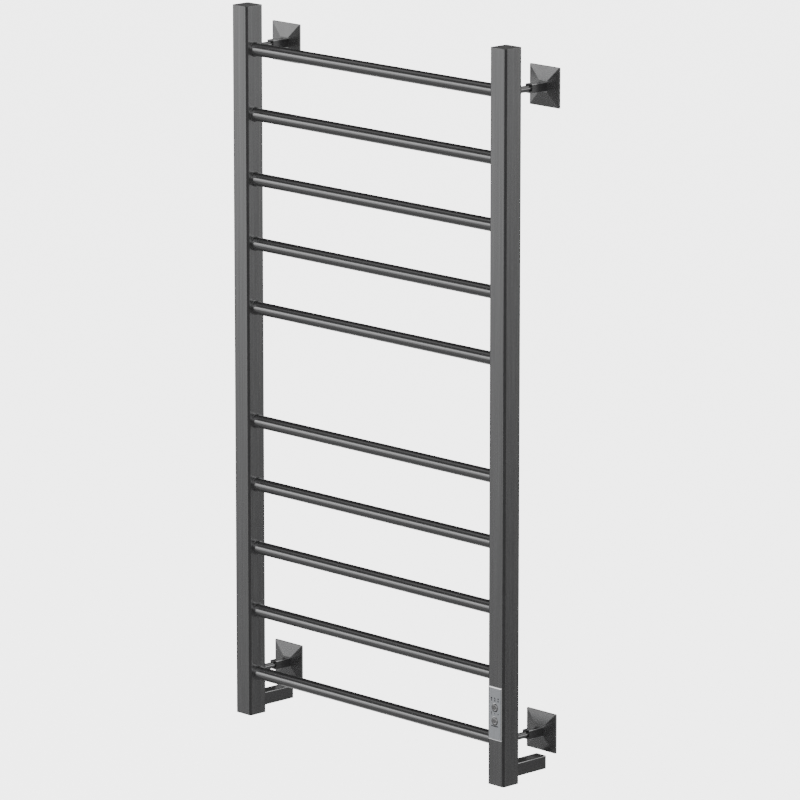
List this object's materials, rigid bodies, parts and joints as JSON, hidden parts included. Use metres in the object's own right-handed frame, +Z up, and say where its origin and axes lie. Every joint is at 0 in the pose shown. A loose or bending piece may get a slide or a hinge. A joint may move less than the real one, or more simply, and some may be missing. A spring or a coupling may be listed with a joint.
{
  "type": "towel warmer rack",
  "caption": "Wall-mounted electric ladder towel warmer: square posts, round rungs in groups, pyramid bracket covers, slim push-button panel and concealed cable outlets.",
  "frame": {"origin": "the middle of the four wall holes, in the plane of the wall that the brackets are fixed to", "axes": "+X to the right as seen from the room, +Y into the wall, +Z up along the posts"},
  "size_m": [0.5544, 0.0915, 1],
  "materials": {
    "anthracite_coat": "satin powder coat, fine vertical grain",
    "bracket_coat": "satin powder coat",
    "black_plastic": "moulded, matt",
    "bezel_plastic": "moulded, satin",
    "soft_rubber": "moulded rubber",
    "cable_jacket": "silicone jacket",
    "satin_steel": "turned and satin brushed",
    "zinc_steel": "zinc plated",
    "black_steel": "black oxide",
    "satin_fascia": "brushed, grey anodised",
    "board_green": "solder mask",
    "light_guide": "tinted, clear gloss",
    "relay_blue": "moulded",
    "terminal_white": "moulded",
    "button_grey": "satin plated"
  },
  "bodies": {
    "wall_brackets": {"bracket_neck_top_left": "bracket_coat", "bracket_neck_top_right": "bracket_coat", "bracket_neck_bottom_left": "bracket_coat", "bracket_neck_bottom_right": "bracket_coat", "grub_screws": "black_steel"},
    "rack": {"left_post": "anthracite_coat", "right_post": "anthracite_coat", "rung_01": "anthracite_coat", "rung_02": "anthracite_coat", "rung_03": "anthracite_coat", "rung_04": "anthracite_coat", "rung_05": "anthracite_coat", "rung_06": "anthracite_coat", "rung_07": "anthracite_coat", "rung_08": "anthracite_coat", "rung_09": "anthracite_coat", "rung_10": "anthracite_coat", "top_cap_left": "anthracite_coat", "top_cap_right": "anthracite_coat", "bottom_cap_left": "black_plastic", "bottom_cap_right": "black_plastic", "outlet_left": "bracket_coat", "outlet_right": "bracket_coat", "blanking_plug": "black_plastic", "cable_grommet": "soft_rubber", "heating_cable": "cable_jacket", "cable_end_seal": "soft_rubber", "bracket_rod_top_left": "satin_steel", "bracket_rod_top_right": "satin_steel", "bracket_rod_bottom_left": "satin_steel", "bracket_rod_bottom_right": "satin_steel", "rod_inserts": "zinc_steel", "panel_bezel": "bezel_plastic", "panel_fascia": "satin_fascia", "panel_seal": "soft_rubber", "control_housing": "black_plastic", "circuit_board": "board_green", "tact_switches": "black_plastic", "indicator_lights": "light_guide", "power_relay": "relay_blue", "terminal_block": "terminal_white", "temperature_sensor": "zinc_steel"},
    "cover_top_left": {"rosette_top_left": "bracket_coat", "grip_ring_top_left": "soft_rubber"},
    "cover_top_right": {"rosette_top_right": "bracket_coat", "grip_ring_top_right": "soft_rubber"},
    "cover_bottom_left": {"rosette_bottom_left": "bracket_coat", "grip_ring_bottom_left": "soft_rubber"},
    "cover_bottom_right": {"rosette_bottom_right": "bracket_coat", "grip_ring_bottom_right": "soft_rubber"},
    "power_key": {"power_button": "button_grey", "power_plunger": "terminal_white"},
    "timer_key": {"timer_button": "button_grey", "timer_plunger": "terminal_white"}
  },
  "joints": [
    {"name": "rack_depth_slide", "type": "slide", "parent": "wall_brackets", "child": "rack", "axis": [0, -1, 0], "range_m": [-0.0015, 0.01]},
    {"name": "cover_slide_top_left", "type": "slide", "parent": "wall_brackets", "child": "cover_top_left", "axis": [0, -1, 0], "range_m": [0, 0.022]},
    {"name": "cover_slide_top_right", "type": "slide", "parent": "wall_brackets", "child": "cover_top_right", "axis": [0, -1, 0], "range_m": [0, 0.022]},
    {"name": "cover_slide_bottom_left", "type": "slide", "parent": "wall_brackets", "child": "cover_bottom_left", "axis": [0, -1, 0], "range_m": [0, 0.022]},
    {"name": "cover_slide_bottom_right", "type": "slide", "parent": "wall_brackets", "child": "cover_bottom_right", "axis": [0, -1, 0], "range_m": [0, 0.022]},
    {"name": "power_button_press", "type": "slide", "parent": "rack", "child": "power_key", "axis": [0, 1, 0], "range_m": [0, 0.0006], "stiffness_N_per_m": 400, "springref_m": -0.001},
    {"name": "timer_button_press", "type": "slide", "parent": "rack", "child": "timer_key", "axis": [0, 1, 0], "range_m": [0, 0.0006], "stiffness_N_per_m": 400, "springref_m": -0.001}
  ]
}
